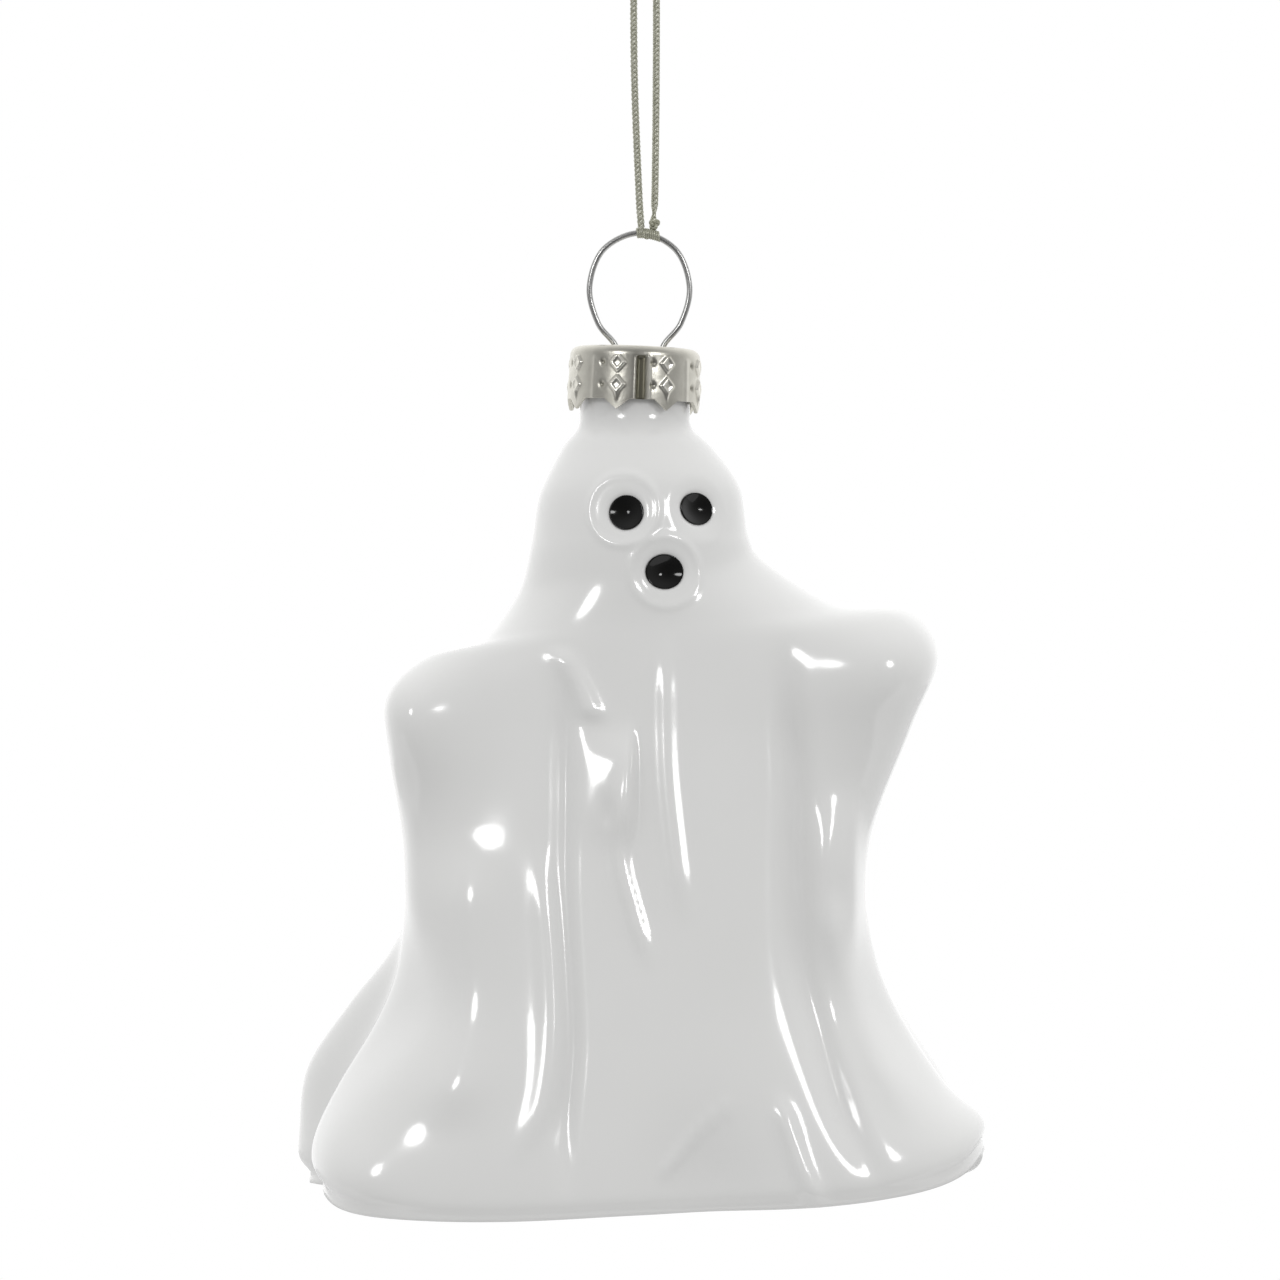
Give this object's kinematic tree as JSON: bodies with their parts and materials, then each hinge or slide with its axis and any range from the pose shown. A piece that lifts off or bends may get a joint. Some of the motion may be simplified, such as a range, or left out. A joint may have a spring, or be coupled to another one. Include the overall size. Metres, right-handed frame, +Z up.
{
  "type": "blown glass ghost ornament",
  "caption": "Hollow milk glass ghost with raised draped arms, a folded hem and a black enamel face, a stamped metal cap, a wire ring and a loop of metallic cord.",
  "frame": {"origin": "where a hook holds the cord's loop, between its two strands, just under the knot", "axes": "+Z up along the hanging cord, +X to the viewer's right, -Y out of the ghost's face"},
  "size_m": [0.0696, 0.0375, 0.1389],
  "materials": {
    "milk_glass": "opaque white blown glass, high gloss",
    "black_enamel": "glossy black enamel",
    "champagne_metal": "bright stamped metal, light champagne tint",
    "steel_wire": "bright drawn spring wire",
    "metallic_cord": "braided silver and champagne metallic yarn"
  },
  "bodies": {
    "root": {"ghost_body": "milk_glass", "left_eye": "black_enamel", "right_eye": "black_enamel", "mouth": "black_enamel", "cap": "champagne_metal", "wire_hanger": "steel_wire", "hanging_cord": "metallic_cord", "cord_knot": "metallic_cord"}
  },
  "joints": []
}
